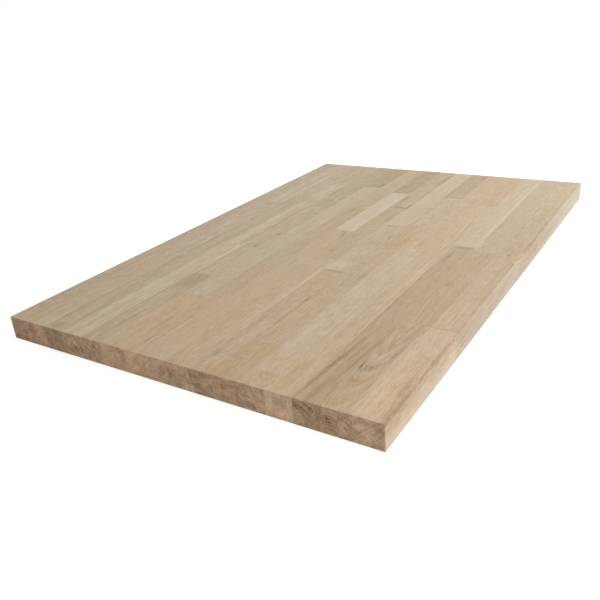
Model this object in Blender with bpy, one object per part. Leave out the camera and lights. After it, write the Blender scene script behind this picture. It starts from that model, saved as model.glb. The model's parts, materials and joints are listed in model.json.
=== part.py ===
"""Finger-jointed oak stair tread: staves glued edge to edge, each made of blocks joined end to end.

The tread lies flat with its origin at the centre of its underside. X runs along the grain, from the
near end to the far end, Y runs across the staves with stave 1 at +Y, and Z is up. Lengths are in metres.
"""

from math import hypot

import bmesh
import bpy
from mathutils import Vector

# Size of the finished tread
TREAD_LENGTH = 1.000
TREAD_DEPTH = 0.650
THICKNESS = 0.038
ARRIS = 0.0006  # edges broken by the sander

# Glue lines
GLUE_LINE = 0.0003
HALF_LINE = GLUE_LINE / 2

# End joint: tapered fingers one above the other, so they show on the long edges of the tread and
# leave one straight line across the faces
FINGER_LENGTH = 0.010
FINGER_PITCH = 0.0038
FINGER_FLAT = 0.0009  # blunt tip and groove floor, before the glue line is taken off
FLANK_RISE = FINGER_PITCH / 2 - FINGER_FLAT
FLANK_COUNT = 17  # an odd number, so that both blocks of a joint have the same fingers
SHOULDER = (THICKNESS - FLANK_COUNT * FLANK_RISE - (FLANK_COUNT - 1) * FINGER_FLAT) / 2

# The staves from +Y to -Y: how far from the near end each end joint has its line on the walking face,
# and the tone of each block
STAVES = (
    ((0.333, 0.690), ("fawn", "ash", "ash")),
    ((0.313, 0.656), ("straw", "straw", "sand")),
    ((0.430, 0.712), ("fawn", "fawn", "fawn")),
    ((0.400, 0.701, 0.828), ("sand", "sand", "straw", "fawn")),
    ((0.259, 0.657), ("olive", "straw", "olive")),
    ((0.185, 0.545, 0.830), ("honey", "ash", "straw", "umber")),
    ((0.193, 0.701), ("honey", "fawn", "straw")),
    ((0.543, 0.805), ("straw", "cream", "umber")),
    ((0.400, 0.702), ("straw", "olive", "fawn")),
    ((0.359, 0.602), ("fawn", "ash", "cream")),
    ((0.099, 0.611, 0.803), ("honey", "straw", "sand", "olive")),
    ((0.037, 0.500), ("straw", "ash", "sand")),
    ((0.345, 0.774), ("sand", "sand", "honey")),
    ((0.210, 0.540), ("umber", "olive", "cream")),
    ((0.233, 0.524), ("olive", "fawn", "ash")),
    ((0.230, 0.513), ("cream", "sand", "sand")),
)
STAVE_WIDTH = TREAD_DEPTH / len(STAVES)

# Tones of unfinished, sanded oak, as screen colours from 0 to 1
OAK_TONES = {
    "cream": (0.81, 0.73, 0.63),
    "sand": (0.77, 0.70, 0.60),
    "ash": (0.75, 0.69, 0.59),
    "straw": (0.74, 0.67, 0.56),
    "honey": (0.74, 0.65, 0.53),
    "fawn": (0.72, 0.65, 0.55),
    "olive": (0.70, 0.63, 0.53),
    "umber": (0.67, 0.59, 0.49),
}
OAK_ROUGHNESS = 0.6


def clear_scene():
    for obj in list(bpy.data.objects):
        bpy.data.objects.remove(obj, do_unlink=True)


def linear(channel):
    """A screen colour channel as the linear value that a shader takes."""
    if channel <= 0.04045:
        return channel / 12.92
    return ((channel + 0.055) / 1.055) ** 2.4


def oak_material(block_name, tone):
    material = bpy.data.materials.new(f"{block_name}_oak_{tone}")
    material.use_nodes = True
    shader = material.node_tree.nodes["Principled BSDF"]
    shader.inputs["Base Color"].default_value = (*map(linear, OAK_TONES[tone]), 1.0)
    shader.inputs["Roughness"].default_value = OAK_ROUGHNESS
    shader.inputs["Metallic"].default_value = 0.0
    material.diffuse_color = (*OAK_TONES[tone], 1.0)
    return material


def finger_end(joint_x):
    """The fingered end of the block before a joint, as (x, z) points from its underside up.

    Every face stands half a glue line back from the middle of the joint. On the sloping flanks
    that thins a finger by the same amount on each of its sides.
    """
    tip_x = joint_x + FINGER_LENGTH / 2 - HALF_LINE
    groove_x = joint_x - FINGER_LENGTH / 2 - HALF_LINE
    thinning = HALF_LINE * (hypot(FINGER_LENGTH, FLANK_RISE) - FLANK_RISE) / FINGER_LENGTH
    points = [(groove_x, 0.0)]
    for flank in range(FLANK_COUNT):
        low = SHOULDER + flank * (FLANK_RISE + FINGER_FLAT)
        high = low + FLANK_RISE
        if flank % 2 == 0:
            points += [(groove_x, low + thinning), (tip_x, high + thinning)]
        else:
            points += [(tip_x, low - thinning), (groove_x, high - thinning)]
    points.append((tip_x, THICKNESS))
    return points


def mating_end(joint_x):
    """The fingered end of the block after a joint, from its top face down.

    It is the other block's end given half a turn about the middle of the joint.
    """
    return [(2 * joint_x - x, THICKNESS - z) for x, z in finger_end(joint_x)]


def sawn_end(x):
    """An end of the tread, cut square, from its underside up."""
    return [(x, 0.0), (x, THICKNESS)]


def joint_middle(line):
    """The x of a joint's middle, half a finger nearer than its line on the walking face."""
    return line - TREAD_LENGTH / 2 - FINGER_LENGTH / 2


def block_outline(start, end):
    """The side outline of a block between two joint lines, where None is an end of the tread."""
    if start is None:
        outline = sawn_end(-TREAD_LENGTH / 2)[::-1]
    else:
        outline = mating_end(joint_middle(start))
    if end is None:
        outline += sawn_end(TREAD_LENGTH / 2)
    else:
        outline += finger_end(joint_middle(end))
    return outline


def stave_sides(index):
    """The two Y faces of a stave. A glue line separates it from each neighbour."""
    outer = TREAD_DEPTH / 2 - index * STAVE_WIDTH
    inner = outer - STAVE_WIDTH
    if index > 0:
        outer -= HALF_LINE
    if index < len(STAVES) - 1:
        inner += HALF_LINE
    return inner, outer


def extruded(outline, low_y, high_y):
    """A closed block: its side outline pulled across the width of its stave."""
    mesh = bmesh.new()
    side = mesh.faces.new([mesh.verts.new((x, low_y, z)) for x, z in outline])
    pulled = bmesh.ops.extrude_face_region(mesh, geom=[side])["geom"]
    moved = [item for item in pulled if isinstance(item, bmesh.types.BMVert)]
    bmesh.ops.translate(mesh, verts=moved, vec=Vector((0.0, high_y - low_y, 0.0)))
    bmesh.ops.recalc_face_normals(mesh, faces=mesh.faces)
    return mesh


def on_tread_edge(edge):
    """Whether an edge lies on an outer edge of the tread, where two of its outer faces meet."""
    close = 1e-6
    first, second = (vertex.co for vertex in edge.verts)
    limits = (
        (-TREAD_LENGTH / 2, TREAD_LENGTH / 2),
        (-TREAD_DEPTH / 2, TREAD_DEPTH / 2),
        (0.0, THICKNESS),
    )
    shared = 0
    for axis, places in enumerate(limits):
        for place in places:
            if abs(first[axis] - place) < close and abs(second[axis] - place) < close:
                shared += 1
    return shared >= 2


def break_arrises(mesh):
    """Takes the sharp corner off the tread's outer edges and leaves the glued ones crisp."""
    edges = [edge for edge in mesh.edges if on_tread_edge(edge)]
    if edges:
        bmesh.ops.bevel(
            mesh, geom=edges, offset=ARRIS, offset_type="OFFSET", segments=1, affect="EDGES"
        )


def make_block(name, outline, sides, tone):
    mesh = extruded(outline, *sides)
    break_arrises(mesh)
    data = bpy.data.meshes.new(name)
    mesh.to_mesh(data)
    mesh.free()
    data.materials.append(oak_material(name, tone))
    block = bpy.data.objects.new(name, data)
    bpy.context.scene.collection.objects.link(block)
    return block


def make_stave(index, joints, tones):
    ends = (None, *joints, None)
    for position, tone in enumerate(tones):
        name = f"stave_{index + 1:02d}_block_{position + 1}"
        outline = block_outline(ends[position], ends[position + 1])
        make_block(name, outline, stave_sides(index), tone)


clear_scene()
for stave, (end_joints, block_tones) in enumerate(STAVES):
    make_stave(stave, end_joints, block_tones)
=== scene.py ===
import json
from math import cos, pi, radians, sin
from random import Random

import bmesh
import bpy
from mathutils import Euler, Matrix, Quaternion, Vector


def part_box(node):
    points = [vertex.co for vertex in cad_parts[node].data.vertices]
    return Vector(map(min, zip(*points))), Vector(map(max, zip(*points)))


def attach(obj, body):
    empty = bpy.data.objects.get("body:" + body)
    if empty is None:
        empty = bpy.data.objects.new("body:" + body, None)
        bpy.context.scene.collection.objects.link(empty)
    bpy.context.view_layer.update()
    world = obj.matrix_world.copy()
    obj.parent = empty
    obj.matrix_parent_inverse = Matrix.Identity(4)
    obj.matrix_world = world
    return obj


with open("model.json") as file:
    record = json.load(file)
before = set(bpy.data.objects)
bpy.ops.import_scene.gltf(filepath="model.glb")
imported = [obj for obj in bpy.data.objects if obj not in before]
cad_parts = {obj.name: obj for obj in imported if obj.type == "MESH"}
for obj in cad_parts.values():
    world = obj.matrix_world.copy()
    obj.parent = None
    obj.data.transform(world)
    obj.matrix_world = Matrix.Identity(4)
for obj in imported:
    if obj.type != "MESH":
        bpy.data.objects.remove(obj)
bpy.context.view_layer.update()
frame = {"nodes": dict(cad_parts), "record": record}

bpy.ops.object.select_all(action="DESELECT")


# Stave 1, and the oak of all the staves
# Each stave is lengths of planed oak, finger-jointed end to end. Each length was sawn from its own
# log, so it has rings, rays and a tone of its own. The staves were glued edge to edge, and the
# panel was planed, sanded fine and left bare. Here the grain is drawn in millimetres.

MM = 1000.0  # millimetres in a metre
LENGTH = 1000.0
DEPTH = 650.0
THICKNESS = 38.0

# Screen colours of the bare wood by the record's slot, from 0 to 1
OAK_TONES = {
    "oak_cream": (0.780, 0.711, 0.614),
    "oak_sand": (0.764, 0.692, 0.590),
    "oak_ash": (0.745, 0.686, 0.590),
    "oak_straw": (0.748, 0.676, 0.573),
    "oak_honey": (0.742, 0.655, 0.543),
    "oak_fawn": (0.737, 0.664, 0.562),
    "oak_olive": (0.723, 0.652, 0.549),
    "oak_umber": (0.694, 0.620, 0.516),
}

# What the palest and the deepest grain leave of the tone, on the faces and on end grain
FACE_PALE = (1.10, 1.10, 1.08)
FACE_DEEP = (0.70, 0.63, 0.55)
END_PALE = (0.93, 0.83, 0.80)
END_DEEP = (0.43, 0.32, 0.265)

# Where plain wood lies between the palest, 0, and the deepest, 1, and how far a pore deepens it
FACE_LEVEL = 0.26
END_LEVEL = 0.44
PORE_SHADE = 0.50

# Casts over the faces, from cool to warm, and over end grain, from olive to ruddy
COOL = (0.98, 1.003, 1.045, 1.0)
WARM = (1.03, 0.987, 0.93, 1.0)
OLIVE = (0.955, 1.01, 0.97, 1.0)
RUDDY = (1.04, 0.98, 0.99, 1.0)
ROSE = (0.0024, -0.008, 0.0032)  # a whole step pinker, added to the screen colour

BARE_GLOSS = 0.30  # of a varnished surface's 0.5: bare sanded wood hardly shines
SANDED = 0.60  # roughness
RELIEF = 0.00025  # metres from the sanded face to the floor of its pores
KNOT_SWELLING = 3.0  # mm that the rings are pushed out round a knot
RING_DRIFT = 2.2  # rings by which an uneven growth gets ahead or behind
RING_MEAN = 0.42  # taken off, so that rings don't deepen the wood as a whole


class Field:
    """A value that changes through the wood. It wraps a socket, so that sums read as sums."""

    def __init__(self, shading, socket):
        self.shading = shading
        self.socket = socket

    def __add__(self, other):
        return self.shading.math("ADD", self, other)

    __radd__ = __add__

    def __sub__(self, other):
        return self.shading.math("SUBTRACT", self, other)

    def __rsub__(self, other):
        return self.shading.math("SUBTRACT", other, self)

    def __mul__(self, other):
        return self.shading.math("MULTIPLY", self, other)

    __rmul__ = __mul__

    def __truediv__(self, other):
        return self.shading.math("DIVIDE", self, other)

    def __abs__(self):
        return self.shading.math("ABSOLUTE", self)

    def fraction(self):
        return self.shading.math("FRACT", self)

    def rise(self, low, high):
        """0 at low, 1 at high and a soft step between. It falls where low is the larger."""
        settings = {"interpolation_type": "SMOOTHSTEP"}
        sockets = {"Value": self, "From Min": low, "From Max": high}
        return self.shading.field("ShaderNodeMapRange", settings, sockets)


class Shading:
    """The nodes of one material, or of the world."""

    def __init__(self, owner, surface="Principled BSDF"):
        owner.use_nodes = True
        self.owner = owner
        self.tree = owner.node_tree
        self.surface = self.tree.nodes[surface]

    def node(self, kind, settings=None, sockets=None):
        """Adds a node of a kind: its settings first, then the value or link of each socket."""
        node = self.tree.nodes.new(kind)
        for name, value in (settings or {}).items():
            setattr(node, name, value)
        for name, value in (sockets or {}).items():
            self.feed(node.inputs[name], value)
        return node

    def feed(self, socket, value):
        if isinstance(value, Field):
            self.tree.links.new(value.socket, socket)
        else:
            socket.default_value = value

    def field(self, kind, settings=None, sockets=None, output=0):
        return Field(self, self.node(kind, settings, sockets).outputs[output])

    def math(self, operation, *values):
        return self.field("ShaderNodeMath", {"operation": operation}, dict(enumerate(values)))

    def vector(self, operation, *values):
        return self.field("ShaderNodeVectorMath", {"operation": operation}, dict(enumerate(values)))

    def joined(self, x=0.0, y=0.0, z=0.0):
        return self.field("ShaderNodeCombineXYZ", None, {0: x, 1: y, 2: z})

    def parts(self, vector):
        split = self.node("ShaderNodeSeparateXYZ", None, {0: vector})
        return [Field(self, part) for part in split.outputs]

    def mixed(self, amount, first, second, blend="MIX"):
        """A colour between two others, or past them."""
        settings = {"data_type": "RGBA", "blend_type": blend, "clamp_factor": False}
        return self.field("ShaderNodeMix", settings, {0: amount, 6: first, 7: second}, output=2)

    def coordinates(self, kind="Object"):
        return self.field("ShaderNodeTexCoord", output=kind)

    def mapped(self, kind, place, location, rotation, scale):
        sockets = {"Vector": place, "Location": location, "Rotation": rotation, "Scale": scale}
        return self.field("ShaderNodeMapping", {"vector_type": kind}, sockets)

    def squeezed(self, place, lengths):
        return self.vector("MULTIPLY", place, [1 / length for length in lengths])

    def noise(self, place, lengths, detail=2.0, roughness=0.5, output=0):
        """Soft noise whose blobs have these lengths along X, Y and Z, in the units of place."""
        place = self.squeezed(place, lengths)
        sockets = {"Vector": place, "Scale": 1.0, "Detail": detail, "Roughness": roughness}
        return self.field("ShaderNodeTexNoise", None, sockets, output)

    def swing(self, place, lengths, detail=2.0, roughness=0.5):
        """Soft noise that goes as far below 0 as above it."""
        return self.noise(place, lengths, detail, roughness) - 0.5

    def wander(self, place, lengths, width):
        """Soft shifts across the grain, over so many mm in all."""
        steps = self.noise(place, lengths, detail=1.0, output=1)
        centred = (0.0, -width / 2, -width / 2)
        return self.vector("MULTIPLY_ADD", steps, (0.0, width, width), centred)


def linear(channel):
    """A screen colour channel as the linear value that a shader takes."""
    if channel <= 0.04045:
        return channel / 12.92
    return ((channel + 0.055) / 1.055) ** 2.4


def tinted(colour, tint=(1.0, 1.0, 1.0)):
    return (*(linear(channel) * part for channel, part in zip(colour, tint)), 1.0)


class Mark:
    """A streak, stain or knot near the walking face, or painted light and shade on the long side:
    an egg-shaped place where the oak is deeper or paler (depth) and warmer or cooler (warmth). x is
    from the near end and y from stave 1's edge, in mm. Length and width are half of the mark's own,
    sink is how far down it goes, and turn is in degrees from the stave towards its right edge."""

    def __init__(self, x, y, length, width, depth=0.0, warmth=0.0, turn=0.0, sink=14.0):
        self.centre = (x, y, THICKNESS)
        self.turn = (0.0, 0.0, radians(turn))
        self.halves = (length, width, sink)
        self.depth = depth
        self.warmth = warmth

    def local(self, wood, place):
        """Places in the mark, whose rim lies at a distance of 1 from its middle."""
        return wood.mapped("TEXTURE", place, self.centre, self.turn, self.halves)

    def reach(self, wood, place):
        """0 in the mark's middle and 1 at its rim."""
        sockets = {0: self.local(wood, place)}
        return wood.field("ShaderNodeVectorMath", {"operation": "LENGTH"}, sockets, output=1)

    def share(self, wood, place):
        """1 in the mark's middle and 0 from its rim."""
        return self.reach(wood, place).rise(1.0, 0.25)


class EndMark(Mark):
    """A mark on the near end's grain: y from stave 1's edge and up from the underside, half as wide
    and half as high as the mark itself, and tilted by so many degrees, down to the right. Warm
    means ruddy here."""

    INWARDS = 30.0  # mm

    def __init__(self, y, up, width, height, depth=0.0, warmth=0.0, tilt=0.0):
        super().__init__(0.0, y, self.INWARDS, width, depth, warmth, sink=height)
        self.centre = (0.0, y, up)
        self.turn = (radians(-tilt), 0.0, 0.0)


class Cut:
    """How one block was cut from its log. The heart is where the log's middle passes the block's
    near end, in mm from its centre towards +Y and up, and it leans by so much along the block.
    Rings are so many mm wide and stand out as much as figure says, and streaks and mottle as much
    as grain says. A shade above 0 is a deeper tone than the record's, a warmth above 0 a warmer
    one, and a rose above 0 a pinker one. Knots are marks that also push the rings aside. End grain
    has an end_shade and an end_figure of its own, and ends are the marks on it."""

    def __init__(
        self,
        heart=None,
        lean=None,
        ring=None,
        figure=0.18,
        shade=0.0,
        warmth=0.0,
        rose=0.0,
        grain=1.0,
        end_shade=0.0,
        end_figure=None,
        marks=(),
        knots=(),
        ends=(),
    ):
        self.heart = heart
        self.lean = lean
        self.ring = ring
        self.figure = figure
        self.shade = shade
        self.warmth = warmth
        self.rose = rose
        self.grain = grain
        self.end_shade = end_shade
        self.end_figure = end_figure or figure + 0.26  # rings stand out more on end grain
        self.marks = marks
        self.knots = knots
        self.ends = ends

    def settle(self, draw):
        """Draws by lot what the photograph doesn't show."""
        around, away = draw.uniform(0.0, 2 * pi), draw.uniform(45.0, 130.0)
        slopes = (draw.gauss(0.0, 0.012), draw.gauss(0.0, 0.02))
        width = draw.uniform(1.8, 3.2)
        self.along = draw.uniform(0.0, 5000.0)
        self.heart = self.heart or (away * cos(around), away * sin(around))
        self.lean = self.lean or slopes
        self.ring = self.ring or width


def log_place(wood, block, cut):
    """Places in the block's log, in mm: X along the heart, Y and Z across it."""
    low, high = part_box(block)
    near_end = Vector((low.x, (low.y + high.y) / 2, (low.z + high.z) / 2)) * MM
    turn = Euler((0.0, cut.lean[1], -cut.lean[0]))
    shift = Vector((cut.along, -cut.heart[0], -cut.heart[1])) - turn.to_matrix() @ near_end
    return wood.mapped("POINT", wood.coordinates(), shift, turn, (MM, MM, MM))


def tread_place(wood, ripple):
    """Places on the tread, in mm: X from the near end, Y from stave 1's edge and Z up."""
    middle = (LENGTH / 2, DEPTH / 2, 0.0)
    place = wood.mapped("POINT", wood.coordinates(), middle, (0.0, 0.0, 0.0), (MM, -MM, MM))
    return wood.vector("ADD", place, ripple)


def oak(block, slot, cut):
    """Bare sanded oak, cut from its own place in a log."""
    wood = Shading(bpy.data.materials.new(block + "_oak"))
    wood.surface.inputs["Specular IOR Level"].default_value = BARE_GLOSS
    place = log_place(wood, block, cut)

    # The grain isn't straight: the whole log wanders a little, and fine fibres wander more often
    sway = wood.wander(place, (190, 60, 60), width=6.0)
    ripple = wood.wander(place, (38, 8, 8), width=1.0)
    grown = wood.vector("ADD", wood.vector("ADD", place, sway), ripple)
    along, across, up = wood.parts(grown)
    tread = tread_place(wood, ripple)
    knots = [(knot, knot.share(wood, tread)) for knot in cut.knots]
    marks = [(mark, mark.share(wood, tread)) for mark in cut.marks] + knots
    ends = [(mark, mark.share(wood, tread)) for mark in cut.ends]

    # Growth rings round the heart, pushed out round a knot: porous, deep early wood, then dense
    # wood that deepens to the ring's end
    radius = wood.math("SQRT", across * across + up * up)
    radius = radius + sum(KNOT_SWELLING * share for _, share in knots)
    spread = wood.noise(wood.joined(radius), (11, 11, 11), detail=1.0)
    year = (radius / cut.ring + RING_DRIFT * spread).fraction()
    early = year.rise(0.42, 0.0) * year.rise(0.0, 0.06)
    late = year.rise(0.35, 1.0)
    rings = early + 0.75 * late - RING_MEAN

    # Vessels run along the grain, widest in early wood: round holes on end grain and short dark
    # lines on the faces
    tube = {"Vector": wood.squeezed(grown, (9, 0.62, 0.62)), "Scale": 1.0}
    vessel = wood.field("ShaderNodeTexVoronoi", None, tube).rise(0.40, 0.20)
    vessel = vessel * (0.22 + 0.78 * early)

    # Rays are thin sheets from the heart outwards: flecks on a quartered face, hairs on end grain
    angle = wood.math("ARCTAN2", up, across)
    sheet = wood.joined(along, radius, angle * Vector(cut.heart).length)
    ray = wood.noise(sheet, (13, 22, 0.75), detail=1.0).rise(0.56, 0.68)
    fan = wood.swing(sheet, (90, 26, 2.2))

    # Streaks, bands, cross-grain mottle and fibres
    streak = wood.swing(grown, (190, 6.5, 6.5), detail=3.0, roughness=0.6)
    band = wood.swing(grown, (420, 17, 17), detail=1.0)
    mottle = wood.swing(place, (30, 15, 15), roughness=0.6)
    fibre = wood.swing(grown, (16, 1.7, 1.7), detail=3.0, roughness=0.65)

    # How deep it is on the faces and on end grain, between their palest and deepest colours
    grain = cut.grain * (0.32 * streak + 0.45 * band + 0.6 * mottle + 1.15 * fibre)
    marked = sum(mark.depth * share for mark, share in marks)
    depth = FACE_LEVEL + cut.shade + cut.figure * rings + grain + PORE_SHADE * vessel - 0.16 * ray
    depth = depth + marked * (1.0 + 2.0 * streak + 1.2 * fibre)
    end_grain = 0.9 * streak + 1.5 * mottle + 1.1 * fan
    end_marked = sum(mark.depth * share for mark, share in ends)
    end_depth = END_LEVEL + cut.end_shade + cut.end_figure * rings + end_grain
    end_depth = end_depth + PORE_SHADE * vessel - 0.24 * ray + end_marked

    # How warm or cool the faces are, and how ruddy or olive the end grain
    drift = wood.swing(place, (240, 30, 30), detail=1.0)
    blush = wood.swing(place, (60, 14, 14), detail=1.0)
    warmed = sum(mark.warmth * share for mark, share in marks)
    end_warmed = sum(mark.warmth * share for mark, share in ends)
    cast = wood.mixed(0.5 + cut.warmth + 0.6 * drift + 0.65 * warmed, COOL, WARM)
    end_cast = wood.mixed(0.35 + 1.6 * blush + end_warmed, OLIVE, RUDDY)

    tone = [channel + cut.rose * part for channel, part in zip(OAK_TONES[slot], ROSE)]
    face = wood.mixed(depth, tinted(tone, FACE_PALE), tinted(tone, FACE_DEEP))
    face = wood.mixed(1.0, face, cast, blend="MULTIPLY")
    end = wood.mixed(end_depth, tinted(tone, END_PALE), tinted(tone, END_DEEP))
    end = wood.mixed(1.0, end, end_cast, blend="MULTIPLY")
    facing_end = abs(wood.parts(wood.coordinates("Normal"))[0]).rise(0.60, 0.90)
    wood.feed(wood.surface.inputs["Base Color"], wood.mixed(facing_end, face, end))

    # Open pores and end grain scatter more light, and rays are slick
    roughness = SANDED + 0.16 * vessel + 0.10 * facing_end - 0.08 * ray
    wood.feed(wood.surface.inputs["Roughness"], roughness)
    height = 0.5 * fibre - 0.8 * vessel - 0.25 * early
    bump = {"Strength": 0.35, "Distance": RELIEF, "Height": height}
    wood.feed(wood.surface.inputs["Normal"], wood.field("ShaderNodeBump", None, bump))
    return wood.owner


def lay_stave(number, *cuts):
    """Gives the blocks of a stave their oak, from the near end to the far end."""
    name = f"stave_{number:02d}_block_"
    blocks = [part for part in frame["record"]["subparts"] if part["node"].startswith(name)]
    for position, (part, cut) in enumerate(zip(blocks, cuts, strict=True)):
        cut.settle(Random(10 * number + position))
        node = frame["nodes"][part["node"]]
        node.data.materials.clear()
        node.data.materials.append(oak(part["node"], part["material_slot"], cut))


lay_stave(
    1,
    Cut(
        heart=(130, 10), shade=0.1, grain=1.1, end_shade=0.16,
        marks=[
            Mark(97, 20, 16, 7, 0.25, warmth=0.8, turn=65),
            Mark(75, 8, 90, 6, 0.3),
            Mark(40, 17, 70, 5, 0.22),
            Mark(270, 31, 75, 7, -0.34),
            Mark(35, 38, 60, 4, -0.24),
        ],
        ends=[
            EndMark(2, 19, 3, 24, 0.16, warmth=-0.6),
            EndMark(20, 16, 3, 20, 0.1, warmth=0.6),
            EndMark(32, 20, 3, 20, 0.08, warmth=0.5),
        ],
    ),
    Cut(shade=0.1, warmth=-0.2, rose=0.8, grain=0.9),
    Cut(shade=0.05, warmth=-0.45, rose=0.6, grain=0.75),
)


# Stave 2
# Three blocks with the palest sapwood along their right edge. The middle one is browner beside
# both its joints.

lay_stave(
    2,
    Cut(
        heart=(-60, -70), shade=0.11, grain=1.1, end_shade=0.07,
        marks=[
            Mark(30, 77, 70, 5, -0.2),
            Mark(60, 47, 80, 6, 0.22),
            Mark(220, 77, 120, 4, -0.12),
            Mark(255, 54, 40, 8, 0.06, warmth=0.3),
        ],
        ends=[
            EndMark(49, 24, 8, 26, 0.36, warmth=1.2),
            EndMark(66, 24, 12, 4, -0.16, tilt=-40),
            EndMark(77, 10, 8, 12, -0.38, warmth=0.6),
        ],
    ),
    Cut(
        shade=-0.02, warmth=-0.2, grain=1.3,
        marks=[
            Mark(327, 60, 15, 18, 0.2, warmth=-0.1),
            Mark(410, 47, 110, 5, 0.24),
            Mark(395, 76, 30, 5, -0.24),
            Mark(560, 72, 90, 8, -0.14),
            Mark(641, 60, 13, 17, 0.24),
        ],
    ),
    Cut(
        warmth=-0.34, rose=0.3, grain=1.2,
        marks=[
            Mark(800, 76, 190, 6, -0.24),
            Mark(840, 43, 60, 4.5, 0.28),
            Mark(930, 66, 80, 16, 0.08, warmth=0.7),
        ],
    ),
)


# Stave 3
# Three blocks whose joints don't show. The heart leans across the near one, so dark lines sweep
# over it.

lay_stave(
    3,
    Cut(
        heart=(95, 30), lean=(0.1, 0.01), figure=0.25, shade=0.05, warmth=-0.08, grain=0.85,
        end_shade=0.26,
        marks=[
            Mark(12, 101, 16, 18, 0.26, warmth=-0.2),
            Mark(40, 87, 60, 4, 0.2),
            Mark(355, 117.5, 110, 5, -0.32),
            Mark(90, 83.5, 150, 2.4, 0.3),
            Mark(300, 83.5, 170, 2.2, 0.22),
            Mark(110, 96, 130, 9, 0.12),
            Mark(265, 88, 90, 3, 0.24, turn=-4),
            Mark(400, 85, 60, 2.8, 0.36, turn=2),
            Mark(160, 99, 100, 2.2, 0.24, turn=-7),
            Mark(75, 114, 80, 2.4, 0.24, turn=-5),
            Mark(380, 108, 55, 3, 0.2, turn=4),
        ],
        ends=[EndMark(98, 19, 34, 60, warmth=-0.6), EndMark(116, 8, 8, 10, warmth=1.0)],
    ),
    Cut(
        lean=(0.03, 0.0), shade=0.03, warmth=-0.2, grain=0.75,
        marks=[Mark(558, 107, 18, 4, 0.16), Mark(640, 106, 60, 5, 0.18)],
    ),
    Cut(
        shade=-0.08, warmth=-0.27,
        marks=[Mark(925, 106, 75, 15, 0.16, warmth=0.7), Mark(920, 84, 60, 4, -0.22)],
    ),
)


# Stave 4
# Four blocks. A brown band runs along the right edge of the middle two.

lay_stave(
    4,
    Cut(
        heart=(-70, -60), shade=-0.12, warmth=-0.08, grain=1.2, end_shade=0.08,
        marks=[
            Mark(10, 140, 20, 18, 0.2, warmth=0.7),
            Mark(30, 127, 60, 5, 0.24),
            Mark(60, 140, 60, 18, 0.08, warmth=-0.2),
            Mark(275, 155, 22, 5, 0.16, warmth=0.6),
            Mark(360, 158, 45, 4, -0.2),
            Mark(180, 128, 60, 4, -0.12),
        ],
        ends=[
            EndMark(125, 22, 7, 26, 0.32, warmth=0.3),
            EndMark(143, 10, 13, 10, 0.34, warmth=0.7),
            EndMark(140, 29, 13, 9, -0.2, warmth=-0.4),
        ],
    ),
    Cut(
        shade=-0.02, warmth=-0.08, grain=1.2,
        marks=[
            Mark(435, 155, 45, 7, 0.34),
            Mark(500, 158, 60, 7, 0.32),
            Mark(600, 155, 100, 6, 0.3, warmth=-0.3),
            Mark(680, 158, 40, 6, 0.22),
            Mark(590, 130, 130, 10, -0.18, warmth=0.3),
        ],
    ),
    Cut(
        shade=-0.13, warmth=-0.34, grain=1.3,
        marks=[
            Mark(765, 131, 90, 13, -0.22, warmth=0.2),
            Mark(765, 147, 60, 5, 0.22),
            Mark(765, 157, 90, 7, 0.3),
        ],
    ),
    Cut(shade=-0.03, warmth=-0.14, marks=[Mark(880, 138, 80, 14, 0.1, warmth=0.2)]),
)


# Stave 5
# Three blocks. The near one is cut on the quarter, so rays cross it as bright flecks. Pin knots
# curl the grain of the middle one.

lay_stave(
    5,
    Cut(
        heart=(45, -50), ring=5.0, figure=0.3, shade=-0.04, warmth=0.08, end_shade=-0.04,
        end_figure=0.85,
        marks=[
            Mark(112, 176, 26, 1.6, -0.6, turn=2),
            Mark(108, 181.5, 34, 1.6, -0.64, turn=2),
            Mark(116, 186.5, 22, 1.5, -0.5, turn=2),
            Mark(108, 172, 34, 2.2, 0.34, turn=2),
            Mark(30, 172, 60, 5, 0.22),
            Mark(80, 189, 60, 2.4, 0.34),
            Mark(80, 193, 70, 5, -0.22),
            Mark(108, 178.7, 32, 1.4, 0.36, turn=2),
            Mark(45, 183, 45, 8, 0.14, warmth=-0.4),
            Mark(238, 180, 56, 30, 0.36, warmth=0.1),
            Mark(120, 165.5, 130, 3.5, 0.26),
        ],
        ends=[
            EndMark(172, 11, 10, 9, 0.24, warmth=1.0),
            EndMark(171, 29, 10, 9, -0.2),
            EndMark(181, 9, 6, 9, -0.3),
            EndMark(186, 30, 18, 3, 0.3, tilt=35),
        ],
    ),
    Cut(
        grain=0.95,
        marks=[
            Mark(480, 196, 14, 6, 0.18),
            Mark(545, 198, 45, 5, 0.18),
            Mark(585, 188, 22, 2, 0.26, turn=-32),
            Mark(613, 196, 12, 8, 0.24),
            Mark(590, 189, 42, 2, 0.2, turn=-18),
            Mark(597, 184, 9, 3.5, -0.22, turn=-30),
            Mark(320, 182, 60, 8, -0.1),
            Mark(390, 180, 70, 16, 0.04, warmth=-0.6),
        ],
        knots=[
            Mark(404, 190, 7, 9, 0.44, turn=15),
            Mark(449, 195, 4, 7, 0.2, turn=20),
            Mark(479, 190, 6, 10, 0.3, turn=15),
            Mark(607, 182, 7, 3.5, 0.34, turn=-30),
        ],
    ),
    Cut(
        shade=0.04, warmth=-0.2, grain=0.9,
        marks=[Mark(700, 178, 50, 10, 0.16), Mark(820, 188, 80, 10, 0.12)],
    ),
)


# Stave 6
# Four blocks: a honey one, a pale grey one with two small knots, a plain one and the dark umber
# end.

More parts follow.
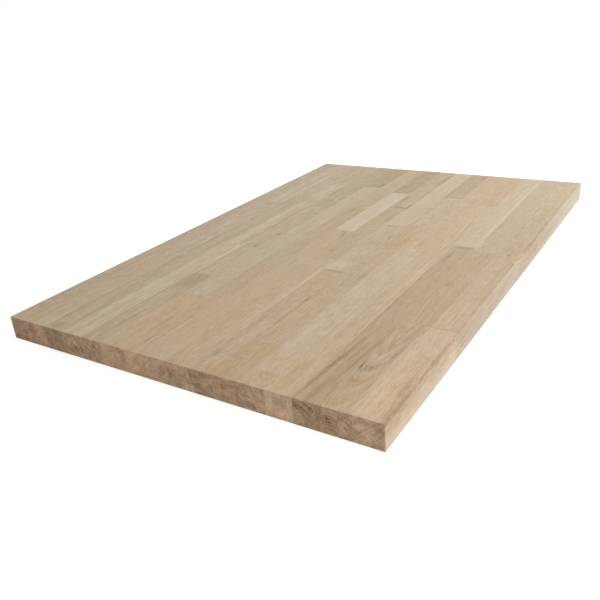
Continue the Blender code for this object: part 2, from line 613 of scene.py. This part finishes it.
lay_stave(
    6,
    Cut(
        heart=(100, -20), shade=-0.02, warmth=0.2, rose=-0.4, end_shade=-0.29,
        marks=[
            Mark(181, 237, 10, 7, 0.3, warmth=-0.5),
            Mark(80, 222, 12, 5, 0.12, warmth=0.5, turn=-30),
            Mark(60, 209, 100, 6, -0.12, warmth=-0.4),
            Mark(20, 222, 50, 24, 0.02, warmth=-0.6),
            Mark(70, 232, 110, 10, 0.06, warmth=0.5),
        ],
        ends=[
            EndMark(241.5, 20, 3.4, 26, 0.44, warmth=0.8),
            EndMark(229, 8, 10, 7, warmth=1.0),
            EndMark(208, 8, 8, 8, -0.18),
        ],
    ),
    Cut(
        shade=-0.05, warmth=0.2, rose=0.4, grain=0.8,
        marks=[
            Mark(205, 236, 16, 9, -0.16, warmth=-0.4),
            Mark(520, 207, 45, 3.5, -0.24),
        ],
        knots=[Mark(461, 219.5, 5.5, 5, 0.36), Mark(245, 225, 4, 5, 0.22)],
    ),
    Cut(shade=-0.11, warmth=-0.27, grain=0.7, marks=[Mark(585, 239, 60, 5, -0.22)]),
    Cut(
        shade=0.05, warmth=0.08,
        marks=[
            Mark(850, 237, 28, 6, 0.24, warmth=-0.2),
            Mark(900, 219, 90, 6, 0.14, warmth=-0.3),
            Mark(975, 230, 40, 14, warmth=0.6),
        ],
    ),
)


# Stave 7
# Three blocks. The near one has strong brown lines in its left half.

lay_stave(
    7,
    Cut(
        heart=(-60, 50), shade=-0.03, warmth=-0.08, end_shade=-0.29,
        marks=[
            Mark(40, 263, 24, 2, 0.52, warmth=0.5),
            Mark(84, 257.5, 34, 1.8, 0.4, warmth=0.5),
            Mark(100, 247, 42, 1.8, 0.34, warmth=0.4),
            Mark(70, 250, 80, 7, 0.13, warmth=0.6),
            Mark(65, 274, 70, 2.6, 0.22, warmth=0.3),
            Mark(60, 269, 80, 6, -0.12, warmth=-0.7),
            Mark(160, 262, 35, 8, 0.08, warmth=0.6),
            Mark(90, 251.5, 60, 1.6, -0.2),
            Mark(90, 278, 70, 5, -0.22),
        ],
        ends=[
            EndMark(246.5, 22, 4, 26, 0.5, warmth=0.5),
            EndMark(262, 29, 11, 2, -0.26, tilt=-30),
            EndMark(270, 14, 13, 6, -0.28, tilt=-45),
            EndMark(274, 32, 8, 3, 0.16, warmth=0.4, tilt=-20),
        ],
    ),
    Cut(
        shade=0.04, warmth=0.14,
        marks=[
            Mark(280, 270, 100, 14, 0.1, warmth=0.5),
            Mark(390, 265, 45, 16, warmth=-0.9),
            Mark(455, 265, 32, 16, 0.04, warmth=0.9),
            Mark(545, 251, 30, 4, 0.2),
            Mark(655, 257, 50, 10, 0.18, warmth=0.3),
            Mark(620, 279, 110, 4, 0.22),
        ],
    ),
    Cut(
        shade=0.08, grain=0.7,
        marks=[Mark(760, 276, 50, 5, 0.16), Mark(960, 262, 40, 14, warmth=0.7)],
    ),
)


# Stave 8
# Three blocks: a plain one that darkens before its joint, the palest of the panel, and a dark
# umber end.

lay_stave(
    8,
    Cut(
        heart=(70, -60), warmth=0.27, grain=0.7, end_shade=-0.14,
        marks=[
            Mark(515, 316, 30, 5, 0.34, turn=-10),
            Mark(528, 308, 18, 8, 0.24),
            Mark(455, 318, 34, 4, 0.2, warmth=0.5, turn=-8),
            Mark(98, 321, 20, 1.6, 0.2),
            Mark(185, 300, 16, 12, warmth=0.5),
            Mark(390, 302, 45, 18, warmth=-1.0),
            Mark(460, 303, 36, 18, warmth=0.7),
        ],
        ends=[
            EndMark(318, 12, 8, 8, 0.2, warmth=0.9),
            EndMark(300, 24, 14, 2.5, 0.14, tilt=-35),
            EndMark(293, 27, 11, 13, -0.28, warmth=-0.5),
        ],
    ),
    Cut(
        shade=-0.14, warmth=-0.27, rose=0.4, grain=0.65,
        marks=[Mark(720, 321, 90, 5, -0.16), Mark(600, 318, 50, 5, 0.1)],
    ),
    Cut(
        shade=0.03, warmth=-0.08,
        marks=[Mark(985, 308, 20, 14, 0.28, warmth=-0.5), Mark(880, 300, 60, 4, 0.14)],
    ),
)


# Stave 9
# Three blocks. A pale band follows the right edge of the near one, and an old branch left a dark
# corner and brown bands in the far one.

lay_stave(
    9,
    Cut(
        heart=(-50, -70), warmth=0.27, grain=1.1, end_shade=-0.03,
        marks=[
            Mark(160, 358, 150, 4.5, -0.28),
            Mark(230, 365, 150, 2.4, -0.55),
            Mark(150, 352, 90, 2, -0.28),
            Mark(180, 355, 120, 1.4, 0.22),
            Mark(218, 349, 42, 1.8, 0.24),
            Mark(84, 330, 12, 5, 0.16, warmth=-0.5),
            Mark(8, 338, 10, 12, 0.14, warmth=0.4),
            Mark(330, 362, 110, 5, -0.26),
        ],
        ends=[
            EndMark(335, 26, 14, 12, 0.32, warmth=0.7),
            EndMark(350, 24, 14, 2.2, -0.14, tilt=-45),
            EndMark(361, 8, 7, 9, -0.3, warmth=-0.8),
        ],
    ),
    Cut(
        shade=-0.04, warmth=0.14, grain=0.8,
        marks=[
            Mark(440, 335, 12, 4, 0.26, warmth=0.8),
            Mark(520, 363, 60, 5, -0.22),
            Mark(546, 343, 7, 4, 0.14, warmth=0.8),
            Mark(640, 357, 50, 6, 0.24, warmth=0.3),
            Mark(660, 333, 22, 6, 0.18),
            Mark(640, 363.5, 80, 4.5, -0.32),
        ],
    ),
    Cut(
        warmth=-0.08,
        marks=[
            Mark(760, 333, 52, 6, 0.46),
            Mark(722, 363, 26, 5, 0.44),
            Mark(830, 362, 40, 4, 0.24, warmth=0.3),
            Mark(920, 360, 65, 6, 0.46),
            Mark(722, 337, 26, 8, 0.16, warmth=-0.5),
            Mark(965, 362, 55, 5, 0.32),
        ],
        knots=[Mark(708, 349, 8, 20, 0.8)],
    ),
)


# Stave 10
# Three blocks: a fawn one with brown blots and a brown end, a grey one that starts pale, and a
# cream one.

lay_stave(
    10,
    Cut(
        heart=(120, 0), shade=-0.03, warmth=0.27, grain=1.2,
        marks=[
            Mark(15, 400, 36, 18, 0.14, warmth=1.2),
            Mark(50, 378, 16, 13, 0.26, warmth=-0.3),
            Mark(35, 392, 60, 5, 0.24),
            Mark(120, 368, 70, 4, -0.26),
            Mark(225, 403.5, 150, 2.4, 0.32),
            Mark(165, 377, 45, 2, 0.26),
            Mark(108, 402, 14, 3, 0.34),
            Mark(175, 402, 34, 2.4, 0.22),
            Mark(236, 402, 15, 4, 0.28, warmth=0.5),
            Mark(356, 388, 9, 30, 0.36, warmth=-0.2),
        ],
        ends=[
            EndMark(370, 27, 4, 20, 0.44, warmth=-0.3, tilt=-12),
            EndMark(370, 8, 7, 10, -0.56),
            EndMark(382, 27, 6, 12, -0.24),
            EndMark(386, 20, 26, 50, 0.06, warmth=-0.5),
            EndMark(390, 3, 20, 4, 0.34),
        ],
    ),
    Cut(
        shade=0.03, warmth=0.27, grain=1.3,
        marks=[
            Mark(370, 380, 46, 26, -0.32, warmth=-0.1),
            Mark(520, 373, 50, 2.4, 0.2),
            Mark(596, 377, 18, 6, 0.3),
            Mark(515, 386, 16, 5, warmth=-0.9),
            Mark(538, 403, 13, 3.4, 0.55, warmth=-0.3),
            Mark(526, 394, 12, 1.8, 0.26, turn=12),
        ],
    ),
    Cut(shade=0.01, warmth=-0.08, grain=0.65),
)


# Stave 11
# Four blocks. The second has a small orange knot with a dark edge near its joint.

lay_stave(
    11,
    Cut(
        heart=(-100, 15), shade=0.1, warmth=0.4, rose=-0.6,
        marks=[
            Mark(50, 430, 60, 2.2, 0.2),
            Mark(40, 418, 60, 2.2, 0.16),
            Mark(35, 434, 30, 2, -0.14),
        ],
        ends=[
            EndMark(423, 24, 1.4, 11, 0.4),
            EndMark(425, 27, 8, 13, 0.26),
            EndMark(434, 20, 2.2, 18, -0.2),
            EndMark(446, 18, 1.8, 20, 0.34),
        ],
    ),
    Cut(
        shade=0.03, warmth=0.27,
        marks=[
            Mark(125, 414, 46, 9, 0.24, warmth=0.3),
            Mark(125, 434, 36, 10, -0.08),
            Mark(320, 432, 60, 14, 0.04, warmth=-0.5),
            Mark(214, 441, 14, 6, 0.3, warmth=-0.2),
            Mark(345, 441, 36, 5, 0.32),
            Mark(350, 438, 26, 1.6, 0.2),
            Mark(537, 405, 14, 4.5, 0.55, warmth=-0.3),
            Mark(530, 438, 30, 13, 0.05, warmth=1.8),
            Mark(405, 420, 18, 8, warmth=0.7),
        ],
        knots=[
            Mark(533, 440, 8, 6, 0.14, warmth=1.0),
            Mark(528, 428, 5, 3, 0.2, warmth=0.6),
        ],
    ),
    Cut(
        warmth=-0.2,
        marks=[
            Mark(638, 415, 34, 5, 0.3, warmth=-0.2),
            Mark(620, 438, 12, 9, 0.32, warmth=0.3),
        ],
    ),
    Cut(
        shade=0.04, warmth=-0.14, grain=0.7,
        marks=[
            Mark(845, 410, 60, 6, 0.2),
            Mark(895, 440, 50, 7, 0.18, warmth=-0.4),
            Mark(968, 440, 30, 9, 0.26, warmth=1.0),
        ],
    ),
)


# Stave 12
# Three blocks. The short near one has swirled grain, and the long grey one is cloudy all over.

lay_stave(
    12,
    Cut(
        heart=(-12, -30), lean=(0.0, 0.22), figure=0.25, shade=-0.04, warmth=0.34, end_shade=-0.04,
        end_figure=0.7,
        marks=[Mark(26, 478, 16, 9, 0.16, warmth=0.9)],
        ends=[
            EndMark(461, 20, 9, 3, 0.36, tilt=8),
            EndMark(463, 9, 13, 8, 0.5, tilt=6),
            EndMark(480, 10, 9, 11, -0.48),
            EndMark(478, 28, 8, 6, -0.12),
            EndMark(452, 30, 6, 6, warmth=0.8),
        ],
    ),
    Cut(
        figure=0.3, shade=-0.15, warmth=0.3, rose=0.4,
        marks=[
            Mark(150, 458, 28, 8, -0.22),
            Mark(62, 467, 32, 24, 0.04, warmth=0.9),
            Mark(115, 462, 50, 16, -0.1, warmth=-0.2),
            Mark(220, 461, 120, 13, -0.1, warmth=-0.2),
            Mark(203, 464, 18, 8, 0.24, warmth=-0.3),
            Mark(183, 481, 14, 5, 0.2),
            Mark(110, 468, 16, 4, 0.18, turn=-10),
            Mark(300, 462, 34, 11, -0.2, warmth=-0.4),
            Mark(320, 452, 60, 5, -0.26),
            Mark(452, 484, 20, 5, -0.3),
            Mark(465, 478, 10, 8, 0.16, turn=60),
            Mark(385, 470, 30, 5, 0.14),
        ],
    ),
    Cut(
        shade=0.03, warmth=0.27, grain=0.85,
        marks=[
            Mark(525, 470, 36, 5, 0.24, warmth=0.2),
            Mark(502, 483, 10, 6, 0.24),
            Mark(535, 455, 22, 9, warmth=0.8),
        ],
    ),
)


# Stave 13
# Three blocks with straight, fine lines. A pale line and a dark one lie along the right edge.

lay_stave(
    13,
    Cut(
        heart=(0, 95), lean=(0.02, 0.0), warmth=0.27, end_shade=-0.29,
        marks=[
            Mark(180, 495, 80, 1.8, -0.2),
            Mark(143, 512, 20, 9, warmth=0.8),
            Mark(45, 508, 75, 24, warmth=0.9),
            Mark(220, 505, 80, 16, 0.04, warmth=-0.6),
        ],
        ends=[
            EndMark(516, 29, 11, 1.3, 0.2),
            EndMark(514, 24, 12, 1.2, 0.16),
            EndMark(508, 10, 20, 10, -0.16, warmth=0.7),
            EndMark(507, 28, 15, 12, 0.24),
        ],
    ),
    Cut(
        lean=(0.04, 0.0), figure=0.25, shade=-0.05, warmth=0.2, grain=0.8,
        marks=[
            Mark(455, 514.5, 60, 2, 0.32, turn=-2),
            Mark(420, 519, 110, 2, -0.34, turn=-1.5),
            Mark(520, 518.5, 50, 2.2, 0.32, turn=-2),
            Mark(610, 509, 60, 2.4, 0.26, turn=-2),
            Mark(610, 514, 60, 1.8, -0.22, turn=-2),
            Mark(630, 519, 50, 2, 0.26, turn=-2),
            Mark(345, 520, 30, 3, -0.14),
        ],
    ),
    Cut(
        shade=-0.17, warmth=-0.14, grain=0.85,
        marks=[Mark(868, 506, 22, 9, 0.12, warmth=1.8), Mark(880, 497, 40, 5, 0.16)],
    ),
)


# Stave 14
# Three blocks: the darkest of the panel, with brown lines that drift to the right, then an olive
# one and a pale one.

lay_stave(
    14,
    Cut(
        heart=(-32, 44), lean=(-0.08, 0.0), ring=2.6, figure=0.45, shade=-0.09, warmth=0.41,
        end_shade=-0.1, end_figure=0.9,
        marks=[
            Mark(60, 533.5, 80, 3.4, 0.38, turn=3),
            Mark(120, 538, 80, 4.4, 0.34, turn=4),
            Mark(30, 549, 55, 7, 0.34, turn=4),
            Mark(120, 550, 80, 2.6, 0.28, turn=6),
            Mark(25, 564, 45, 4, 0.36),
            Mark(85, 558, 55, 2.8, 0.28, turn=4),
            Mark(140, 562, 60, 3.4, 0.28, turn=4),
            Mark(75, 541, 70, 1.8, -0.26, turn=5),
            Mark(103, 569, 13, 0.9, 0.9),
        ],
        ends=[
            EndMark(545, 34, 15, 2, 0.5, warmth=0.4, tilt=22),
            EndMark(555, 28, 13, 1.8, 0.5, warmth=0.4, tilt=34),
            EndMark(547, 24, 9, 1.5, 0.4, tilt=30),
            EndMark(551, 31, 8, 1, -0.44, tilt=-50),
            EndMark(557, 23, 6, 1, -0.5, tilt=-40),
            EndMark(538, 17, 5, 2.6, -0.5, tilt=-10),
            EndMark(560, 12, 10, 8, 0.1, warmth=0.8),
            EndMark(541, 26, 6, 5, 0.2),
            EndMark(532, 28, 9, 12, 0.34),
            EndMark(535, 9, 12, 12, -0.5),
            EndMark(564, 26, 7, 16, 0.28),
        ],
    ),
    Cut(
        warmth=0.2,
        marks=[
            Mark(258, 530.5, 66, 3, 0.42, warmth=-0.2),
            Mark(400, 531, 70, 3, 0.1, warmth=0.2),
            Mark(480, 537, 50, 8, 0.3),
            Mark(532, 549, 9, 26, 0.34),
        ],
    ),
    Cut(
        grain=0.8,
        marks=[
            Mark(780, 566.5, 420, 7, -0.26),
            Mark(890, 548, 130, 5, 0.2),
            Mark(840, 532, 60, 5, -0.24),
        ],
    ),
)


# Stave 15
# Three blocks. The near one is cut close to the heart, which rises towards the walking face, so
# its rings make pointed arches. A small check has opened beside its left glue line.

class Arch(Mark):
    """The outline of a mark: a ring that the saw met at a slant. Only its near end shows."""

    def share(self, wood, place):
        line = abs(self.reach(wood, place) - 1.0).rise(0.14, 0.0)
        return line * wood.parts(self.local(wood, place))[0].rise(0.3, -0.5)


lay_stave(
    15,
    Cut(
        heart=(12, -31), lean=(0.0, 0.1), ring=4.4, figure=0.32, shade=-0.1, warmth=0.3, rose=0.5,
        grain=1.1, end_shade=-0.06,
        marks=[
            Arch(122, 580, 60, 22, 0.2, warmth=0.6),
            Arch(192, 577, 100, 25, 0.6),
            Arch(270, 586, 112, 13, 0.28),
            Mark(66, 580, 7, 11, 0.26, warmth=0.5, turn=15),
            Mark(84, 582, 9, 9, -0.08, warmth=-0.9),
            Mark(28, 588, 60, 26, warmth=0.9),
            Mark(90, 606, 180, 6.5, -0.42),
            Mark(45, 599, 40, 2, 0.12, turn=14),
            Mark(60, 606, 40, 1.6, 0.16, turn=12),
            Mark(130, 583, 22, 5, -0.22, turn=8),
            Mark(108, 588, 16, 2.2, 0.35, turn=25),
            Mark(150, 597, 34, 2.2, 0.35, turn=8),
            Mark(205, 604, 30, 2, 0.3, turn=6),
            Mark(200, 592, 36, 1.6, 0.3, turn=6),
            Mark(195, 585, 34, 1.6, 0.28, turn=5),
            Mark(103, 570.2, 14, 1.5, 1.5),
            Mark(101, 573, 12, 1.4, -0.5),
            Mark(98, 576.5, 10, 1.2, 0.7, turn=-8),
        ],
        ends=[
            EndMark(581, 15, 13, 10, 0.36, warmth=0.6),
            EndMark(580, 21, 11, 5, 0.14, tilt=-14),
            EndMark(599, 17, 1.5, 4, 0.44, tilt=-50),
            EndMark(603, 23, 1.5, 4, 0.4, tilt=-45),
            EndMark(603, 14, 1.2, 3, 0.36, tilt=-45),
            EndMark(595, 29, 7, 10, 0.34),
            EndMark(597, 9, 8, 11, -0.42),
            EndMark(607, 27, 4, 12, -0.26),
        ],
    ),
    Cut(
        shade=0.08, warmth=0.34, grain=0.9,
        marks=[
            Mark(378, 581, 15, 10, 0.22, warmth=-0.4),
            Mark(398, 593, 10, 6, -0.1, warmth=-0.8),
            Mark(272, 586, 52, 20, warmth=0.7),
        ],
    ),
    Cut(
        shade=0.02, warmth=0.12, rose=0.4, grain=0.7,
        marks=[
            Mark(650, 574, 60, 5, 0.16),
            Mark(555, 572, 50, 5, -0.2),
            Mark(660, 590, 90, 26, 0.02, warmth=0.4),
            Mark(790, 606, 60, 2.4, -0.28),
            Mark(573, 590, 8, 4, 0.18),
            Mark(900, 574, 110, 8, -0.14),
        ],
    ),
)


# Stave 16
# Three blocks of the right long side, whose side is painted with light and shade: paler, cooler and
# pinker as a whole, and deeper towards the top. A brown streak runs along the near part of its
# arris and fades down the side.

# Only on the side: painted light, paler and cooler as a whole, and painted shade towards the top
SIDE_LIGHT_AND_SHADE = [
    Mark(800, 650, 1200, 3, -0.16, warmth=-1.0, sink=120),
    Mark(500, 650, 1500, 3, 0.12, sink=42),
]
# The brown of the arris, its fade down the side, and the paler foot below it
BROWN_ARRIS = [
    Mark(50, 650, 300, 8, 0.38, warmth=0.8, sink=6),
    Mark(80, 650, 330, 2, 0.46, warmth=0.3, sink=32),
    Mark(80, 650, 330, 2, -0.14, sink=120),
]

lay_stave(
    16,
    Cut(
        heart=(-60, 55), shade=-0.07, warmth=0.5, rose=0.6, grain=1.3, end_shade=-0.1,
        end_figure=0.55,
        marks=[
            # the side's painted light and shade
            *SIDE_LIGHT_AND_SHADE,
            *BROWN_ARRIS,
            Mark(150, 626, 90, 1.6, -0.18),
            Mark(60, 630, 100, 26, 0.06, warmth=0.9),
            Mark(178, 630, 46, 24, -0.05, warmth=-0.5),
            Mark(40, 622, 80, 6, -0.28),
            Mark(85, 640, 110, 6, 0.28),
        ],
        ends=[
            EndMark(643, 26, 13, 18, 0.44),
            EndMark(627, 10, 9, 13, -0.4, warmth=-0.3),
            EndMark(616, 18, 6, 14, warmth=-0.5),
        ],
    ),
    Cut(
        figure=0.25, shade=0.12, warmth=0.1, rose=0.3, grain=0.9,
        marks=[
            Mark(266, 630, 80, 24, -0.16, warmth=0.5),
            Mark(262, 628, 34, 2.2, 0.32, turn=3),
            Mark(268, 635, 36, 2.2, 0.3, turn=2),
            Mark(300, 632, 34, 1.6, -0.22),
            Mark(350, 641, 130, 2.6, -0.2),
            Mark(262, 612, 60, 5, -0.26),
            Mark(480, 612, 50, 5, -0.22),
            # the side's painted light and shade
            *SIDE_LIGHT_AND_SHADE,
            *BROWN_ARRIS,
        ],
    ),
    Cut(
        shade=0.1, warmth=0.08, grain=1.2,
        marks=[
            Mark(538, 629, 30, 4, 0.26),
            Mark(555, 630, 70, 24, 0.12, warmth=0.3),
            Mark(870, 630, 110, 26, -0.14),
            Mark(655, 615, 60, 2.4, 0.3),
            Mark(730, 613, 90, 3, 0.22),
            # the side's painted light and shade
            *SIDE_LIGHT_AND_SHADE,
            Mark(600, 648, 50, 4, 0.24, warmth=0.8, sink=6),
            Mark(640, 650, 210, 4, 0.3, warmth=0.5, sink=80),
        ],
    ),
)


# The glue in the finger joints
# The fingers of two blocks are spread with wood glue and pressed together until they bottom out.
# The film that cures between them is folded as they are: a hairline on the faces, a zigzag on the
# long edges.

FINGER_LENGTH = 0.010
FINGER_PITCH = 0.0038
FINGER_FLAT = 0.0009  # the blunt tip of a finger
FLANKS = 17
FLANK_RISE = FINGER_PITCH / 2 - FINGER_FLAT
PANEL_TOP = THICKNESS / MM
PANEL_EDGE = DEPTH / MM / 2
SHOULDER = (PANEL_TOP - FLANKS * FLANK_RISE - (FLANKS - 1) * FINGER_FLAT) / 2
STAVES = 16
STAVE_WIDTH = DEPTH / MM / STAVES
FILM = 0.00036  # fills the line between two blocks and soaks a little into both
FLUSH = 0.00005  # how far the glue has shrunk below the sanded faces
ARRIS = 0.0006  # taken off the tread's outer edges by the sander

GLUE_PALE = (0.74, 0.66, 0.55)
GLUE_DEEP = (0.66, 0.57, 0.46)
GLUE_RELIEF = 0.00005


def cured_glue(name):
    """Cured wood glue: honey brown, deeper where it pooled, and smoother than the oak."""
    glue = Shading(bpy.data.materials.new(name))
    place = glue.vector("MULTIPLY", glue.coordinates(), (MM, MM, MM))
    pooled = glue.noise(place, (30, 6, 6)).rise(0.35, 0.65)
    dried = glue.noise(place, (1.5, 1.5, 1.5), detail=1.0)
    colour = glue.mixed(pooled, tinted(GLUE_PALE), tinted(GLUE_DEEP))
    glue.feed(glue.surface.inputs["Base Color"], colour)
    glue.feed(glue.surface.inputs["Roughness"], 0.42 + 0.16 * dried)
    bump = {"Strength": 0.3, "Distance": GLUE_RELIEF, "Height": dried}
    glue.feed(glue.surface.inputs["Normal"], glue.field("ShaderNodeBump", None, bump))
    return glue.owner


def pick(*pieces):
    """Selects these pieces alone and makes the first the active one."""
    bpy.ops.object.select_all(action="DESELECT")
    for piece in pieces:
        piece.select_set(True)
    bpy.context.view_layer.objects.active = pieces[0]


def pick_edges(piece, wanted):
    """In edit mode, selects the edges whose ends both lie where wanted says, and nothing else."""
    bpy.ops.mesh.select_mode(type="EDGE")
    bpy.ops.mesh.select_all(action="DESELECT")
    mesh = bmesh.from_edit_mesh(piece.data)
    for edge in mesh.edges:
        edge.select_set(all(wanted(end.co) for end in edge.verts))
    bmesh.update_edit_mesh(piece.data)


def copied(piece, place):
    """A copy of a piece with its own mesh, moved by place. Only the copy is left selected."""
    pick(piece)
    bpy.ops.object.duplicate(linked=False)
    bpy.ops.transform.translate(value=place)
    bpy.ops.object.transform_apply(location=True, rotation=True, scale=True)
    return bpy.context.object


def joined_up(pieces, name):
    """The pieces as one, under a new name."""
    pick(*pieces)
    bpy.ops.object.join()
    bpy.ops.object.select_all(action="DESELECT")
    pieces[0].name = name
    return pieces[0]


def end_at_edge(film, side):
    """Ends a film of an outer stave at the tread's long edge and at its two broken corners."""
    bpy.ops.object.mode_set(mode="EDIT")
    pick_edges(film, lambda end: side * end.y > PANEL_EDGE - FLUSH)
    bpy.ops.transform.translate(value=(0.0, -side * FLUSH, 0.0))
    for height, up in ((PANEL_TOP, 1), (0.0, -1)):
        bpy.ops.mesh.select_all(action="SELECT")
        bpy.ops.mesh.bisect(
            plane_co=(0.0, side * (PANEL_EDGE - ARRIS - FLUSH), height),
            plane_no=(0.0, side, up),
            use_fill=True,
            clear_outer=True,
            threshold=1e-6,
        )
    bpy.ops.object.mode_set(mode="OBJECT")


# One folded film, at x = 0: a strip across the stave, pulled on from finger to finger
foot = SHOULDER - FLUSH
bpy.ops.mesh.primitive_plane_add(size=1.0, rotation=(0.0, pi / 2, 0.0))
fold = bpy.context.object
bpy.ops.object.transform_apply(location=True, rotation=True, scale=True)
bpy.ops.object.mode_set(mode="EDIT")
bpy.ops.transform.resize(value=(1.0, STAVE_WIDTH, foot))
bpy.ops.transform.translate(value=(-FINGER_LENGTH / 2, 0.0, FLUSH + foot / 2))
pick_edges(fold, lambda end: end.z > SHOULDER - FLUSH)
for flank in range(FLANKS):
    forth = FINGER_LENGTH if flank % 2 == 0 else -FINGER_LENGTH
    rest = FINGER_FLAT if flank < FLANKS - 1 else foot
    bpy.ops.mesh.extrude_region_move(TRANSFORM_OT_translate={"value": (forth, 0.0, FLANK_RISE)})
    bpy.ops.mesh.extrude_region_move(TRANSFORM_OT_translate={"value": (0.0, 0.0, rest)})
bpy.ops.object.mode_set(mode="OBJECT")
bpy.ops.object.modifier_add(type="SOLIDIFY")
fold.modifiers["Solidify"].thickness = FILM
fold.modifiers["Solidify"].offset = 0.0
fold.modifiers["Solidify"].use_even_offset = True
bpy.ops.object.modifier_apply(modifier="Solidify")

# A copy in every joint
films = []
for stave in range(1, STAVES + 1):
    blocks = sorted(name for name in frame["nodes"] if name.startswith(f"stave_{stave:02d}_"))
    for block, following in zip(blocks, blocks[1:]):
        joint_x = (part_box(block)[1].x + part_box(following)[0].x) / 2
        middle_y = PANEL_EDGE - (stave - 0.5) * STAVE_WIDTH
        films.append(copied(fold, (joint_x, middle_y, 0.0)))
        if stave in (1, STAVES):
            end_at_edge(films[-1], side=1 if stave == 1 else -1)
bpy.data.objects.remove(fold, do_unlink=True)
finger_glue = joined_up(films, "finger_glue")
finger_glue.data.materials.append(cured_glue("finger_glue"))
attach(finger_glue, "root")


# The glue between the staves
# Fifteen long films, squeezed thin when the staves were clamped edge to edge, and sanded flush
# with the faces and with the broken edges of the two ends.

bpy.ops.mesh.primitive_cube_add(size=1.0, location=(0.0, PANEL_EDGE - STAVE_WIDTH, PANEL_TOP / 2))
line = bpy.context.object
bpy.ops.object.mode_set(mode="EDIT")
bpy.ops.transform.resize(value=(LENGTH / MM - 2 * FLUSH, FILM, PANEL_TOP - 2 * FLUSH))
for end in (-1, 1):
    for height in (-1, 1):
        pick_edges(line, lambda corner: corner.x * end > 0 and corner.z * height > 0)
        bpy.ops.mesh.bevel(offset=ARRIS, affect="EDGES")
bpy.ops.object.mode_set(mode="OBJECT")
bpy.ops.object.transform_apply(location=True, rotation=True, scale=True)
lines = [line] + [copied(line, (0.0, -step * STAVE_WIDTH, 0.0)) for step in range(1, STAVES - 1)]
stave_glue = joined_up(lines, "stave_glue")
stave_glue.data.materials.append(cured_glue("stave_glue"))
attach(stave_glue, "root")


# The studio
# A white floor and three soft lamps, all on the tread's right: one above it, a warmer one beyond
# the near end and a cooler one beyond the far end. A white sky fills in from all sides.

FLOOR_SIDE = 30.0
FLOOR_GAP = 0.0005  # so that the underside and the floor don't lie in one plane
PAPER = 0.80
PAPER_LIFT = 0.62  # added only where the paper is seen, so that it is white far out too


def seen(shading):
    """1 for rays from the camera and for what gloss and glass show of the studio, 0 for light."""
    rays = shading.node("ShaderNodeLightPath").outputs
    camera_ray, glossy_ray, glass_ray = (
        Field(shading, rays[f"Is {kind} Ray"]) for kind in ("Camera", "Glossy", "Transmission")
    )
    return shading.math("MAXIMUM", shading.math("MAXIMUM", camera_ray, glossy_ray), glass_ray)


bpy.ops.mesh.primitive_plane_add(size=FLOOR_SIDE, location=(0.0, 0.0, -FLOOR_GAP))
floor = bpy.context.object
floor.name = "floor"
paper = Shading(bpy.data.materials.new("studio_paper"))
paper.surface.inputs["Base Color"].default_value = (PAPER, PAPER, PAPER, 1.0)
paper.surface.inputs["Roughness"].default_value = 0.9
paper.surface.inputs["Specular IOR Level"].default_value = 0.0
paper.surface.inputs["Emission Strength"].default_value = 1.0
lift = paper.mixed(seen(paper), (0.0, 0.0, 0.0, 1.0), (PAPER_LIFT, PAPER_LIFT, PAPER_LIFT, 1.0))
paper.feed(paper.surface.inputs["Emission Color"], lift)
floor.data.materials.append(paper.owner)

WORLD_LEVEL = 0.50
sky = Shading(bpy.data.worlds.new("studio"), "Background")
sky.surface.inputs["Color"].default_value = (1.0, 1.0, 1.0, 1.0)
sky.feed(sky.surface.inputs["Strength"], WORLD_LEVEL + (1.0 - WORLD_LEVEL) * seen(sky))
bpy.context.scene.world = sky.owner


def set_up(thing, place, target, roll=0.0):
    """Puts a lamp or the camera at its place, aimed at a target and turned about its own axis."""
    thing.location = place
    thing.rotation_mode = "QUATERNION"
    aim = (Vector(target) - Vector(place)).to_track_quat("-Z", "Y")
    thing.rotation_quaternion = aim @ Quaternion((0.0, 0.0, 1.0), roll)
    bpy.context.scene.collection.objects.link(thing)


def soft_lamp(name, place, width, watts, colour):
    light = bpy.data.lights.new(name, "AREA")
    light.shape = "DISK"
    light.size = width
    light.energy = watts
    light.color = colour
    lamp = bpy.data.objects.new(name, light)
    lamp.visible_camera = False
    set_up(lamp, place, (0.0, 0.0, 0.0))


soft_lamp("far_lamp", (1.45, -1.30, 0.90), width=2.0, watts=17.4, colour=(0.74, 0.82, 1.0))
soft_lamp("near_lamp", (-2.6, -2.15, 0.90), width=2.0, watts=33.5, colour=(1.0, 0.91, 0.88))
soft_lamp("top_lamp", (0.8, -1.08, 1.8), width=1.6, watts=18.1, colour=(1.0, 0.99, 0.92))

# The camera looks down from off the near right corner, a little turned about its own axis
CAMERA_PLACE = (-1.04598, -0.59416, 0.47604)
LOOKED_AT = (-0.23161, -0.04638, 0.019)  # where the camera's axis meets the tread
CAMERA_ROLL = radians(-4.60)
LENS = 40.364  # mm
SENSOR = 36.0  # mm

view = bpy.data.cameras.new("camera")
view.lens = LENS
view.sensor_width = SENSOR
camera = bpy.data.objects.new("camera", view)
set_up(camera, CAMERA_PLACE, LOOKED_AT, CAMERA_ROLL)
bpy.context.scene.camera = camera
bpy.context.scene.view_settings.view_transform = "Standard"
